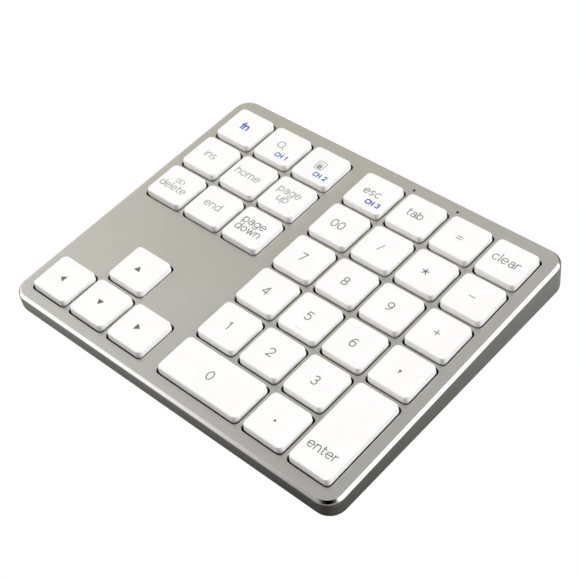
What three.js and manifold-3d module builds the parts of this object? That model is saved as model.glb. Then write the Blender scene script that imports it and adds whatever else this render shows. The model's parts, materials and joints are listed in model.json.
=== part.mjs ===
// Numeric keypad: a shallow metal case whose deck slopes down to the front, 35 low keys in two blocks,
// and the key mechanism, electronics, fasteners and feet inside and under it.
//
// Units are millimetres. +X is right, +Y is back, +Z is up. The origin is under the middle of the keypad,
// on the surface that it stands on. Most pieces are placed in the deck frame, a group tilted about X:
// there, x = y = 0 is the middle of the deck and z = 0 is its top face.

import * as THREE from "three";
import { mergeVertices } from "three/addons/utils/BufferGeometryUtils.js";
import Module from "manifold-3d";

const wasm = await Module();
wasm.setup();

// ---------------------------------------------------------------- driving dimensions

const CASE_WIDTH = 147.6;
const CASE_DEPTH = 122.7; // along the deck
const CASE_CORNER = 6.5;
const FRONT_HEIGHT = 9.0; // deck to underside, at the front edge
const BACK_HEIGHT = 14.05; // the same, at the back edge
const EDGE_CHAMFER = 1.1;
const UNDER_RADIUS = 3.0; // the walls curve under by this radius
const WALL = 1.6;
const DECK_SKIN = 1.2;
const GAP = 0.3; // between neighbouring pieces that touch in the real object
const ARC_STEPS = 6; // facets round a case corner

const KEY_PITCH_X = 19.0;
const KEY_PITCH_Y = 18.7;
const BLOCK_GAP = 5.4; // extra space between the two blocks of keys
const FIRST_KEY = new THREE.Vector2(-59.75, 46.1); // middle of the back left key
const CAP_TOP = new THREE.Vector2(16.1, 16.0);
const CAP_BASE = new THREE.Vector2(16.3, 16.2);
const CAP_RISE = 2.35; // above the deck
const CAP_SKIRT = 1.5; // below the deck
const CAP_CORNER = 1.8;
const CAP_EDGE = 0.35; // bevel round the top face
const CAP_WALL = 1.0;
const KEY_TRAVEL = 2.0;
const KEY_STEPS = 2; // facets round a key corner
const APERTURE = new THREE.Vector2(17.5, 17.4);
const APERTURE_CORNER = 2.3;

const PLUNGER_RADIUS = 2.4;
const PLUNGER_BOTTOM = -0.8;
const DOME_SHEET_TOP = -3.9;
const DOME_SHEET_THICK = 0.4;
const DOME_TOP = PLUNGER_BOTTOM - KEY_TRAVEL - GAP; // as it lies under a pressed key
const DOME_BASE_RADIUS = 3.6;
const DOME_TOP_RADIUS = 2.2;
const DOME_SIDES = 6;
const MEMBRANE_THICK = 0.3;
const PLATE_THICK = 0.8;
const SHEET_MARGIN = 3.4; // from the case's outline to the sheets' edge, at the sides and front
const SHEET_BACK = 55.3;
const MEMBRANE_TOP = DOME_SHEET_TOP - DOME_SHEET_THICK - GAP;
const PLATE_TOP = MEMBRANE_TOP - MEMBRANE_THICK - GAP;
const PLATE_BOTTOM = PLATE_TOP - PLATE_THICK;

const COVER_THICK = 1.6;
const COVER_EDGE = 0.21; // height of the cover's edge where it carries on the walls' curve
const BOSS_RADIUS = 1.9;
const PILOT_RADIUS = 1.1;
const PILOT_TOP = -2.2;
const PAD_RADIUS = 3.2;
const PAD_HEIGHT = 2.4; // above the underside
const POCKET_RADIUS = 2.1;
const POCKET_DEPTH = 1.4;
const SCREW_HEAD_RADIUS = 1.75;
const SCREW_HEAD_HEIGHT = 1.0;
const SCREW_HEAD_SINK = 0.1;
const SCREW_SHAFT_RADIUS = 0.8;
const SCREW_SHAFT_LENGTH = 4.2;
const POST_RADIUS = 1.5;
const FOOT_RADIUS = 4.5;
const FOOT_BELOW = 0.8; // what the feet stand out below the cover
const FOOT_SUNK = 0.2; // how far they reach into their recesses
const RIB_WIDTH = 2.4;
const RIB_BOTTOM = DOME_SHEET_TOP + GAP;

const SOCKET = { width: 8.94, height: 3.2, corner: 1.5, front: 53.8, back: 60.9, skin: 0.35 };
const PORT_MIDDLE = -8.23; // height of the socket's and the switch's middle, below the deck
const PORT_CLEARANCE = 0.35;
const BOARD_THICK = 0.8;
const BATTERY = { x: -36, y: 15, width: 44, depth: 36, top: -6.4, bottom: -9.3, corner: 1.5 };
const BOARD_TOP = PORT_MIDDLE - SOCKET.height / 2 - GAP;
const KNOB = { x: 43.0, width: 2.6, height: 1.5, front: 56.9, back: 62.0 };
const KNOB_TRAVEL = 2.0;
const KNOB_CLEARANCE = 0.4;
const LIGHT_HOLE_RADIUS = 0.55;
const LIGHT_PIPE_RADIUS = 1.0;
const LIGHT_PLACES = [new THREE.Vector2(12.2, 57.2), new THREE.Vector2(31.2, 57.2)];
const TAIL = { left: -30, right: -18, thick: 0.2, bend: 2.25, end: 52.5 };

const WIRE_RADIUS = 0.5;
const WIRE_REACH = 7.0; // from the stabiliser's pivot to its long run, along the key
const WIRE_PIVOT = -3.05; // heights below the deck
const WIRE_RUN = -0.55;
const WIRE_OFFSET = 2.0; // the pivot's distance from the key's middle
const WIRE_FOOT = 2.6; // length of each bent foot, which turns in a tab
const TAB = { thick: 1.4, width: 3.0, top: -1.9 };

const halfWidth = CASE_WIDTH / 2;
const halfDepth = CASE_DEPTH / 2;
const slope = (BACK_HEIGHT - FRONT_HEIGHT) / CASE_DEPTH;
const tilt = Math.atan(slope);

// Height of the case's flat underside, and of the cover's inner face, at a place along the deck.
const underside = (y) => -(FRONT_HEIGHT + slope * (y + halfDepth));
const floorAt = (y) => underside(y) + COVER_THICK;

// ---------------------------------------------------------------- the keys' places

// Each row is listed from the back, as its left block and its right block.
const KEY_ROWS = [
  [["fn", "search", "calculator"], ["escape", "tab", "equals", "clear"]],
  [["insert", "home", "page_up"], ["double_zero", "divide", "multiply", "minus"]],
  [["delete", "end", "page_down"], ["7", "8", "9", "plus"]],
  [[null, null, null], ["4", "5", "6", "comma"]],
  [[null, "arrow_up", null], ["1", "2", "3", "enter"]],
  [["arrow_left", "arrow_down", "arrow_right"], ["0", null, "point", null]],
];
const KEY_SPANS = { 0: [2, 1], enter: [1, 2] }; // in key pitches, where it isn't one by one

const columnX = (block, column) => FIRST_KEY.x + (3 * block + column) * KEY_PITCH_X + block * BLOCK_GAP;
const rowY = (row) => FIRST_KEY.y - row * KEY_PITCH_Y;

const keys = [];
KEY_ROWS.forEach((blocks, row) => {
  blocks.forEach((names, block) => {
    names.forEach((name, column) => {
      if (name === null) return;
      const [across, down] = KEY_SPANS[name] ?? [1, 1];
      const extra = new THREE.Vector2((across - 1) * KEY_PITCH_X, (down - 1) * KEY_PITCH_Y);
      const x = columnX(block, column) + extra.x / 2;
      const y = rowY(row) - extra.y / 2;
      keys.push({ name, x, y, extra });
    });
  });
});

const betweenBlocks = (columnX(0, 2) + columnX(1, 0)) / 2;

// Screws stand where four keys meet, or between the blocks, or in the bare part of the deck.
const SCREW_PLACES = [
  new THREE.Vector2((columnX(0, 0) + columnX(0, 1)) / 2, (rowY(0) + rowY(1)) / 2),
  new THREE.Vector2((columnX(1, 2) + columnX(1, 3)) / 2, (rowY(0) + rowY(1)) / 2),
  new THREE.Vector2((columnX(0, 0) + columnX(0, 1)) / 2, rowY(3)),
  new THREE.Vector2((columnX(1, 2) + columnX(1, 3)) / 2, (rowY(2) + rowY(3)) / 2),
  new THREE.Vector2(betweenBlocks, rowY(5)),
  new THREE.Vector2((columnX(1, 1) + columnX(1, 2)) / 2, (rowY(3) + rowY(4)) / 2),
];
const POST_PLACES = [
  new THREE.Vector2(-64, 50),
  new THREE.Vector2(-64, 15),
  new THREE.Vector2(-64, -40),
  new THREE.Vector2(0, 15),
  new THREE.Vector2(0, -30),
  new THREE.Vector2(64, 50),
  new THREE.Vector2(64, 15),
  new THREE.Vector2(64, -40),
];
const FOOT_PLACES = {
  back_left: new THREE.Vector2(-60, 47),
  back_right: new THREE.Vector2(60, 47),
  front_left: new THREE.Vector2(-60, -50),
  front_right: new THREE.Vector2(60, -50),
};

// ---------------------------------------------------------------- materials

function material(color, roughness, metalness) {
  return new THREE.MeshStandardMaterial({ color, roughness, metalness, flatShading: true });
}

const anodised = material(0xbcb8ac, 0.42, 0.9);
const capPlastic = material(0xfaf8f2, 0.45, 0.0);
const coverPlastic = material(0xb9b8b4, 0.6, 0.0);
const steel = material(0x9a9a98, 0.35, 1.0);
const darkSteel = material(0x55575a, 0.4, 1.0);
const domeRubber = material(0x242426, 0.7, 0.0);
const filmPlastic = material(0xc9ccb8, 0.3, 0.0);
const footRubber = material(0x3a3a3a, 0.85, 0.0);
const boardGreen = material(0x1f5a3a, 0.5, 0.0);
const pouchSilver = material(0xa8aab0, 0.4, 0.6);
const blackPlastic = material(0x1d1d1f, 0.5, 0.0);
const clearPlastic = material(0x8d9296, 0.15, 0.0);
const tailOrange = material(0xb8742e, 0.45, 0.0);

// ---------------------------------------------------------------- solids

// A rounded rectangle about (0, 0) as a closed ring of points, counter-clockwise.
function roundedRing(width, depth, radius, steps) {
  const ring = [];
  for (let corner = 0; corner < 4; corner += 1) {
    const start = (corner * Math.PI) / 2;
    const sideX = corner === 0 || corner === 3 ? 1 : -1;
    const sideY = corner < 2 ? 1 : -1;
    for (let step = 0; step <= steps; step += 1) {
      const angle = start + (step / steps) * (Math.PI / 2);
      const x = sideX * (width / 2 - radius) + radius * Math.cos(angle);
      const y = sideY * (depth / 2 - radius) + radius * Math.sin(angle);
      ring.push(new THREE.Vector2(x, y));
    }
  }
  return ring;
}

// The ring at a height, which is a number or a function of y.
function raise(ring, height) {
  const heightAt = typeof height === "number" ? () => height : height;
  return ring.map((point) => new THREE.Vector3(point.x, point.y, heightAt(point.y)));
}

// The case's outline, moved inwards.
function caseRing(inset) {
  const width = CASE_WIDTH - 2 * inset;
  const depth = CASE_DEPTH - 2 * inset;
  return roundedRing(width, depth, CASE_CORNER - inset, ARC_STEPS);
}

// A closed solid through rings with equal numbers of points, closed flat at the first and the last.
function loft(rings) {
  const count = rings[0].length;
  const positions = rings.flat().flatMap((point) => point.toArray());
  const index = [];
  for (let level = 0; level + 1 < rings.length; level += 1) {
    for (let at = 0; at < count; at += 1) {
      const a = level * count + at;
      const b = level * count + ((at + 1) % count);
      index.push(a, b, b + count, a, b + count, a + count);
    }
  }
  const last = (rings.length - 1) * count;
  for (let at = 1; at + 1 < count; at += 1) {
    index.push(0, at + 1, at);
    index.push(last, last + at, last + at + 1);
  }
  const geometry = new THREE.BufferGeometry();
  geometry.setAttribute("position", new THREE.Float32BufferAttribute(positions, 3));
  geometry.setIndex(index);
  geometry.computeVertexNormals();
  return geometry;
}

function block(x0, x1, y0, y1, z0, z1) {
  const box = new THREE.BoxGeometry(x1 - x0, y1 - y0, z1 - z0);
  return box.translate((x0 + x1) / 2, (y0 + y1) / 2, (z0 + z1) / 2);
}

// An upright cylinder or cone frustum between two heights.
function column(place, z0, z1, radius, sides = 12, topRadius = radius) {
  const cylinder = new THREE.CylinderGeometry(topRadius, radius, z1 - z0, sides);
  return cylinder.rotateX(Math.PI / 2).translate(place.x, place.y, (z0 + z1) / 2);
}

function solid(geometry) {
  const bare = geometry.clone();
  bare.deleteAttribute("normal");
  bare.deleteAttribute("uv");
  const merged = mergeVertices(bare);
  const vertProperties = merged.attributes.position.array;
  const triVerts = new Uint32Array(merged.index.array);
  return new wasm.Manifold(new wasm.Mesh({ numProp: 3, vertProperties, triVerts }));
}

function geometryOf(body) {
  const mesh = body.getMesh();
  const geometry = new THREE.BufferGeometry();
  geometry.setAttribute("position", new THREE.BufferAttribute(mesh.vertProperties, 3));
  geometry.setIndex(new THREE.BufferAttribute(mesh.triVerts, 1));
  geometry.computeVertexNormals();
  return geometry;
}

// The base with the added pieces joined on, and then the cut pieces taken away.
function carve(base, added, cut) {
  let body = solid(base);
  for (const piece of added) body = body.add(solid(piece));
  for (const piece of cut) body = body.subtract(solid(piece));
  return geometryOf(body);
}

const deck = new THREE.Group();
deck.rotation.x = tilt;

function place(name, geometry, look, x = 0, y = 0, z = 0) {
  const mesh = new THREE.Mesh(geometry, look);
  mesh.name = name;
  mesh.position.set(x, y, z);
  deck.add(mesh);
  return mesh;
}

// ---------------------------------------------------------------- top case

function aperture(key) {
  const ring = roundedRing(APERTURE.x + key.extra.x, APERTURE.y + key.extra.y, APERTURE_CORNER, KEY_STEPS);
  return loft([raise(ring, -DECK_SKIN - 1), raise(ring, 1)]).translate(key.x, key.y, 0);
}

function caseShell() {
  const curve = [];
  for (let step = 4; step >= 0; step -= 1) {
    const angle = (step / 4) * (Math.PI / 2);
    const inset = UNDER_RADIUS * (1 - Math.cos(angle));
    const lift = UNDER_RADIUS * (1 - Math.sin(angle));
    curve.push(raise(caseRing(inset), (y) => underside(y) + lift));
  }
  return loft([...curve, raise(caseRing(0), -EDGE_CHAMFER), raise(caseRing(EDGE_CHAMFER), 0)]);
}

function addTopCase() {
  const below = (y) => underside(y) - 1;
  const hollow = loft([raise(caseRing(WALL), below), raise(caseRing(WALL), -DECK_SKIN)]);
  const body = geometryOf(solid(caseShell()).subtract(solid(hollow)));
  const root = -DECK_SKIN / 2; // where bosses and the rib join the deck's skin
  const bosses = SCREW_PLACES.map((at) => column(at, underside(at.y) + PAD_HEIGHT + GAP, root, BOSS_RADIUS));
  const rib = block(
    betweenBlocks - RIB_WIDTH / 2,
    betweenBlocks + RIB_WIDTH / 2,
    -halfDepth + WALL / 2,
    SHEET_BACK,
    RIB_BOTTOM,
    root,
  );
  const pilots = SCREW_PLACES.map((at) => column(at, underside(at.y), PILOT_TOP, PILOT_RADIUS, 8));
  const lights = LIGHT_PLACES.map((at) => column(at, -DECK_SKIN - 1, 1, LIGHT_HOLE_RADIUS, 8));
  const wallInside = halfDepth - WALL - 1;
  const wallOutside = halfDepth + 1;
  const portRing = roundedRing(
    SOCKET.width + 2 * PORT_CLEARANCE,
    SOCKET.height + 2 * PORT_CLEARANCE,
    SOCKET.corner + PORT_CLEARANCE,
    3,
  );
  const port = loft([raise(portRing, -wallOutside), raise(portRing, -wallInside)])
    .rotateX(Math.PI / 2)
    .translate(0, 0, PORT_MIDDLE);
  const slot = block(
    KNOB.x - KNOB.width / 2 - KNOB_CLEARANCE,
    KNOB.x + KNOB.width / 2 + KNOB_TRAVEL + KNOB_CLEARANCE,
    wallInside,
    wallOutside,
    PORT_MIDDLE - KNOB.height / 2 - KNOB_CLEARANCE,
    PORT_MIDDLE + KNOB.height / 2 + KNOB_CLEARANCE,
  );
  const cuts = [...keys.map(aperture), ...pilots, ...lights, port, slot];
  place("top_case", carve(body, [...bosses, rib], cuts), anodised);
}

// ---------------------------------------------------------------- keycaps and stabilisers

function addKeycap(key) {
  const ringOf = (size, inset, corner) =>
    roundedRing(size.x + key.extra.x - 2 * inset, size.y + key.extra.y - 2 * inset, corner, KEY_STEPS);
  const inside = ringOf(CAP_BASE, CAP_WALL, CAP_CORNER - CAP_WALL / 2);
  const shell = loft([
    raise(inside, CAP_RISE - CAP_WALL),
    raise(inside, -CAP_SKIRT),
    raise(ringOf(CAP_BASE, 0, CAP_CORNER), -CAP_SKIRT),
    raise(ringOf(CAP_TOP, 0, CAP_CORNER), CAP_RISE - CAP_EDGE),
    raise(ringOf(CAP_TOP, CAP_EDGE, CAP_CORNER - CAP_EDGE), CAP_RISE),
  ]);
  const middle = new THREE.Vector2(0, 0);
  const added = [column(middle, PLUNGER_BOTTOM, CAP_RISE - CAP_WALL / 2, PLUNGER_RADIUS, 6)];
  if (key.name === "5") {
    const front = -CAP_TOP.y / 2 + 2.4;
    added.push(block(-2, 2, front - 0.3, front + 0.3, CAP_RISE - 0.3, CAP_RISE + 0.25)); // homing bar
  }
  place(`keycap_${key.name}`, carve(shell, added, []), capPlastic, key.x, key.y);
}

// Half of the stabiliser's long run: as long as the key's extra length, less the tabs.
const wireHalf = (key) => Math.max(key.extra.x, key.extra.y) / 2 + 3.5;

// A stabiliser as it lies under a wide key, about its pivot: a long run, two arms and two bent feet.
function stabiliserWire(key) {
  const half = wireHalf(key);
  const rise = WIRE_RUN - WIRE_PIVOT;
  const route = [
    new THREE.Vector3(-half - WIRE_FOOT, 0, 0),
    new THREE.Vector3(-half, 0, 0),
    new THREE.Vector3(-half, WIRE_REACH, rise),
    new THREE.Vector3(half, WIRE_REACH, rise),
    new THREE.Vector3(half, 0, 0),
    new THREE.Vector3(half + WIRE_FOOT, 0, 0),
  ];
  const rings = route.map((point, at) => {
    const before = at === 0 ? null : point.clone().sub(route[at - 1]).normalize();
    const after = at === route.length - 1 ? null : route[at + 1].clone().sub(point).normalize();
    const along = (before ?? after).clone().add(after ?? before).normalize();
    const stretch = 1 / along.dot(before ?? after); // keeps the wire round through the mitred bends
    const arm = new THREE.Vector3(0, WIRE_REACH, rise).normalize();
    const up = new THREE.Vector3(1, 0, 0).cross(arm).normalize();
    const side = up.clone().cross(along);
    const ring = [];
    for (let step = 0; step < 6; step += 1) {
      const angle = (step * Math.PI) / 3;
      const offset = side.clone().multiplyScalar(WIRE_RADIUS * stretch * Math.cos(angle));
      offset.addScaledVector(up, WIRE_RADIUS * Math.sin(angle));
      ring.push(point.clone().add(offset));
    }
    return ring;
  });
  return loft(rings);
}

function addStabiliser(key) {
  const wire = place(`stabiliser_wire_${key.name}`, stabiliserWire(key), steel, key.x, key.y, WIRE_PIVOT);
  if (key.extra.x > 0) {
    wire.position.y -= WIRE_OFFSET;
  } else {
    wire.rotation.z = -Math.PI / 2;
    wire.position.x -= WIRE_OFFSET;
  }
}

// The two upright tabs that hold a stabiliser's feet, cut or grown by a margin, and their holes.
function stabiliserTabs(key, margin) {
  const middle = wireHalf(key) + WIRE_FOOT / 2;
  return [-middle, middle].map((along) => {
    const across = key.extra.x > 0 ? [along, -WIRE_OFFSET] : [-WIRE_OFFSET, along];
    const size = key.extra.x > 0 ? [TAB.thick, TAB.width] : [TAB.width, TAB.thick];
    const [x, y] = [key.x + across[0], key.y + across[1]];
    const [sizeX, sizeY] = size.map((value) => value / 2 + margin);
    return block(x - sizeX, x + sizeX, y - sizeY, y + sizeY, PLATE_BOTTOM + PLATE_THICK / 2, TAB.top);
  });
}

function stabiliserHole(key) {
  const long = 2 * (wireHalf(key) + WIRE_FOOT) + 2;
  const rod = new THREE.CylinderGeometry(WIRE_RADIUS + GAP, WIRE_RADIUS + GAP, long, 8);
  if (key.extra.x > 0) return rod.rotateZ(Math.PI / 2).translate(key.x, key.y - WIRE_OFFSET, WIRE_PIVOT);
  return rod.translate(key.x - WIRE_OFFSET, key.y, WIRE_PIVOT);
}

const longKeys = keys.filter((key) => key.name in KEY_SPANS);

// ---------------------------------------------------------------- sheets under the keys

function sheet(top, thick) {
  const side = halfWidth - SHEET_MARGIN;
  return block(-side, side, -halfDepth + SHEET_MARGIN, SHEET_BACK, top - thick, top);
}

function bossHoles(top, thick) {
  return SCREW_PLACES.map((at) => column(at, top - thick - 1, top + 1, BOSS_RADIUS + GAP, 8));
}

const tabHoles = longKeys.flatMap((key) => stabiliserTabs(key, GAP));

function addSheets() {
  const domes = keys.map((key) => {
    const root = DOME_SHEET_TOP - DOME_SHEET_THICK / 2;
    return column(key, root, DOME_TOP, DOME_BASE_RADIUS, DOME_SIDES, DOME_TOP_RADIUS);
  });
  const domeHoles = [...bossHoles(DOME_SHEET_TOP, DOME_SHEET_THICK), ...tabHoles];
  place("rubber_dome_sheet", carve(sheet(DOME_SHEET_TOP, DOME_SHEET_THICK), domes, domeHoles), domeRubber);

  const membraneHoles = [...bossHoles(MEMBRANE_TOP, MEMBRANE_THICK), ...tabHoles];
  place("membrane_circuit", carve(sheet(MEMBRANE_TOP, MEMBRANE_THICK), [], membraneHoles), filmPlastic);

  const tabs = longKeys.flatMap((key) => stabiliserTabs(key, 0));
  const plateHoles = [...bossHoles(PLATE_TOP, PLATE_THICK), ...longKeys.map(stabiliserHole)];
  place("key_support_plate", carve(sheet(PLATE_TOP, PLATE_THICK), tabs, plateHoles), steel);
}

// ---------------------------------------------------------------- bottom cover, screws and feet

// A foot, or with a margin its recess, stands square to the ground, so it is turned back from the tilt.
function footColumn(at, below, above, radius) {
  const origin = new THREE.Vector2(0, 0);
  return column(origin, -below, above, radius, 20).rotateX(-tilt).translate(at.x, at.y, underside(at.y));
}

function addBottomCover() {
  const edge = WALL + GAP;
  const plate = loft([
    raise(caseRing(UNDER_RADIUS), underside),
    raise(caseRing(edge), (y) => underside(y) + COVER_EDGE),
    raise(caseRing(edge), floorAt),
  ]);
  const pads = SCREW_PLACES.map((at) => {
    return column(at, underside(at.y) + 1, underside(at.y) + PAD_HEIGHT, PAD_RADIUS);
  });
  const posts = POST_PLACES.map((at) => column(at, underside(at.y) + 1, PLATE_BOTTOM - GAP, POST_RADIUS, 8));
  const pockets = SCREW_PLACES.map((at) => {
    return column(at, underside(at.y) - 1, underside(at.y) + POCKET_DEPTH, POCKET_RADIUS);
  });
  const holes = SCREW_PLACES.map((at) => column(at, underside(at.y) - 1, PILOT_TOP, PILOT_RADIUS, 8));
  const recesses = Object.values(FOOT_PLACES).map((at) => {
    return footColumn(at, 1, FOOT_SUNK + GAP, FOOT_RADIUS + GAP);
  });
  place("bottom_cover", carve(plate, [...pads, ...posts], [...pockets, ...holes, ...recesses]), coverPlastic);
}

function addScrews() {
  const profile = [
    new THREE.Vector2(0, 0.4), // the driver recess is a shallow cone
    new THREE.Vector2(0.9, 0),
    new THREE.Vector2(SCREW_HEAD_RADIUS, 0),
    new THREE.Vector2(SCREW_HEAD_RADIUS, SCREW_HEAD_HEIGHT),
    new THREE.Vector2(SCREW_SHAFT_RADIUS, SCREW_HEAD_HEIGHT),
    new THREE.Vector2(SCREW_SHAFT_RADIUS, SCREW_HEAD_HEIGHT + SCREW_SHAFT_LENGTH - 0.5),
    new THREE.Vector2(0, SCREW_HEAD_HEIGHT + SCREW_SHAFT_LENGTH),
  ];
  const screw = new THREE.LatheGeometry(profile, 10).rotateX(Math.PI / 2);
  SCREW_PLACES.forEach((at, number) => {
    place(`case_screw_${number + 1}`, screw, darkSteel, at.x, at.y, underside(at.y) + SCREW_HEAD_SINK);
  });
}

function addFeet() {
  for (const [corner, at] of Object.entries(FOOT_PLACES)) {
    place(`rubber_foot_${corner}`, footColumn(at, FOOT_BELOW, FOOT_SUNK, FOOT_RADIUS), footRubber);
  }
}

// ---------------------------------------------------------------- electronics

function addMainBoard() {
  const root = BOARD_TOP - BOARD_THICK / 2;
  const slab = block(-45, 60, 40.6, 58.6, BOARD_TOP - BOARD_THICK, BOARD_TOP);
  const controller = block(-8, -1, 42, 49, root, BOARD_TOP + 0.9);
  const radioCan = block(8, 19, 42, 51, root, BOARD_TOP + 1.6);
  const crystal = block(24, 27.2, 44, 46.5, root, BOARD_TOP + 0.8);
  const batteryPlug = block(-43, -36, 42, 47, root, BOARD_TOP + 2.4);
  const tailClamp = block(TAIL.left - 1.5, TAIL.right + 1.5, 48.5, 53.9, root, BOARD_TOP + 1.7);
  const tailHeight = MEMBRANE_TOP - MEMBRANE_THICK / 2 - 2 * TAIL.bend;
  const tailSlot = block(
    TAIL.left - GAP,
    TAIL.right + GAP,
    TAIL.end - GAP,
    54.5,
    tailHeight - TAIL.thick / 2 - GAP,
    tailHeight + TAIL.thick / 2 + GAP,
  );
  const parts = [controller, radioCan, crystal, batteryPlug, tailClamp];
  place("main_board", carve(slab, parts, [tailSlot]), boardGreen);
}

// The membrane's flat tail: it leaves the back of the membrane, turns down and under, and plugs in.
function addRibbonTail() {
  const start = new THREE.Vector2(SHEET_BACK + GAP, MEMBRANE_TOP - MEMBRANE_THICK / 2);
  const outer = TAIL.bend + TAIL.thick / 2;
  const inner = TAIL.bend - TAIL.thick / 2;
  const middle = start.y - TAIL.bend;
  const section = new THREE.Shape();
  section.absarc(start.x, middle, outer, Math.PI / 2, -Math.PI / 2, true);
  section.lineTo(TAIL.end, middle - outer);
  section.lineTo(TAIL.end, middle - inner);
  section.absarc(start.x, middle, inner, -Math.PI / 2, Math.PI / 2, false);
  section.closePath();
  const width = TAIL.right - TAIL.left;
  const strip = new THREE.ExtrudeGeometry(section, { depth: width, bevelEnabled: false, curveSegments: 10 });
  strip.rotateX(Math.PI / 2).rotateZ(Math.PI / 2);
  place("ribbon_tail", strip, tailOrange, TAIL.left);
}

function addBattery() {
  const ring = roundedRing(BATTERY.width, BATTERY.depth, BATTERY.corner, 2);
  const pouch = loft([raise(ring, BATTERY.bottom), raise(ring, BATTERY.top)]);
  place("battery_pack", pouch, pouchSilver, BATTERY.x, BATTERY.y);
}

function addSocket() {
  const long = SOCKET.back - SOCKET.front;
  const outside = roundedRing(SOCKET.width, SOCKET.height, SOCKET.corner, 3);
  const { skin } = SOCKET;
  const inside = roundedRing(SOCKET.width - 2 * skin, SOCKET.height - 2 * skin, SOCKET.corner - skin, 3);
  const shell = loft([
    raise(inside, long - 1),
    raise(inside, 0),
    raise(outside, 0),
    raise(outside, long),
  ]);
  const tongue = block(-3.3, 3.3, -0.35, 0.35, 1, long - 0.5);
  const geometry = carve(shell, [tongue], []).rotateX(Math.PI / 2);
  place("charging_socket", geometry, steel, 0, SOCKET.back, PORT_MIDDLE);
}

function addPowerSwitch() {
  const left = KNOB.x - KNOB.width / 2 - KNOB_CLEARANCE;
  const right = KNOB.x + KNOB.width / 2 + KNOB_TRAVEL + KNOB_CLEARANCE;
  const low = PORT_MIDDLE - SOCKET.height / 2;
  const high = PORT_MIDDLE + SOCKET.height / 2;
  const body = block(left - 2, right + 2, 54.6, halfDepth - WALL - GAP, low, high);
  const grooveHalf = KNOB.height / 2 + KNOB_CLEARANCE;
  const groove = block(left, right, 56.4, halfDepth, PORT_MIDDLE - grooveHalf, PORT_MIDDLE + grooveHalf);
  place("power_switch_body", carve(body, [], [groove]), steel);
  const knob = new THREE.BoxGeometry(KNOB.width, KNOB.back - KNOB.front, KNOB.height);
  place("power_switch_knob", knob, blackPlastic, KNOB.x, (KNOB.front + KNOB.back) / 2, PORT_MIDDLE);
}

function addLightPipes() {
  const origin = new THREE.Vector2(0, 0);
  const pipe = column(origin, BOARD_TOP + GAP, -DECK_SKIN - GAP, LIGHT_PIPE_RADIUS, 10);
  place("light_pipe_left", pipe, clearPlastic, LIGHT_PLACES[0].x, LIGHT_PLACES[0].y);
  place("light_pipe_right", pipe, clearPlastic, LIGHT_PLACES[1].x, LIGHT_PLACES[1].y);
}

// ---------------------------------------------------------------- assembly

addTopCase();
keys.forEach(addKeycap);
longKeys.forEach(addStabiliser);
addSheets();
addBottomCover();
addScrews();
addFeet();
addMainBoard();
addRibbonTail();
addBattery();
addSocket();
addPowerSwitch();
addLightPipes();

// The tilted deck is moved so that the middle of the whole keypad's underside is the origin.
const keypad = new THREE.Group();
keypad.add(deck);
keypad.updateMatrixWorld(true);
const bounds = new THREE.Box3().setFromObject(keypad, true);
const centre = bounds.getCenter(new THREE.Vector3());
deck.position.set(-centre.x, -centre.y, -bounds.min.z);

export default keypad;
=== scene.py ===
"""Numeric keypad: the visible model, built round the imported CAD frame.

Shapes are worked out in millimetres in the deck frame, which is tilted about X: x = y = 0 is the middle of
the deck and z = 0 is its top face. DECK takes them to the row frame, which is in metres.
"""

import json
from math import atan2, cos, dist, pi, radians, sin, sqrt, tan

import bmesh
import bpy
from mathutils import Euler, Matrix, Vector


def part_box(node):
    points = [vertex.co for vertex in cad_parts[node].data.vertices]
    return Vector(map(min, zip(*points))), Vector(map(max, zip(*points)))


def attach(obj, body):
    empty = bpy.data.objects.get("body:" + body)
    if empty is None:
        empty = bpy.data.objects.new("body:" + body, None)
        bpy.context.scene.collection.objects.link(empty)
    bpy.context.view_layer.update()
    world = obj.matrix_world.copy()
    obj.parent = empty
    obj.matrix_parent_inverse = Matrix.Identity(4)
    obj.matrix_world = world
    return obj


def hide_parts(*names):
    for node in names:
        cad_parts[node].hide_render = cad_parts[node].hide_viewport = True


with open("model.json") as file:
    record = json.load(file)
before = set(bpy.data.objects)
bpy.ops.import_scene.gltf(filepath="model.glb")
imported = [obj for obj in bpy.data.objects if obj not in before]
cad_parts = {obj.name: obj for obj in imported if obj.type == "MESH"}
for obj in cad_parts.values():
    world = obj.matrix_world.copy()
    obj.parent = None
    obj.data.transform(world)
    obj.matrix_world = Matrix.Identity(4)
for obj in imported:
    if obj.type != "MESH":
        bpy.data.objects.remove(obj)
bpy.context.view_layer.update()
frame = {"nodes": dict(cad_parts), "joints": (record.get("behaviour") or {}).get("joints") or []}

MM = 0.001

# ---- driving dimensions in millimetres, as in the CAD model

CASE_WIDTH = 147.6
CASE_DEPTH = 122.7
CASE_CORNER = 6.5
FRONT_HEIGHT = 9.0
BACK_HEIGHT = 14.05
EDGE_CHAMFER = 1.1
UNDER_RADIUS = 3.0
WALL = 1.6
DECK_SKIN = 1.2
GAP = 0.3

KEY_PITCH_X = 19.0
KEY_PITCH_Y = 18.7
BLOCK_GAP = 5.4
FIRST_KEY = (-59.75, 46.1)
CAP_TOP = (16.1, 16.0)
CAP_BASE = (16.3, 16.2)
CAP_RISE = 2.35
CAP_SKIRT = 1.5
CAP_CORNER = 1.8
CAP_WALL = 1.0
APERTURE = (17.5, 17.4)
PLUNGER_BOTTOM = -0.8

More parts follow.
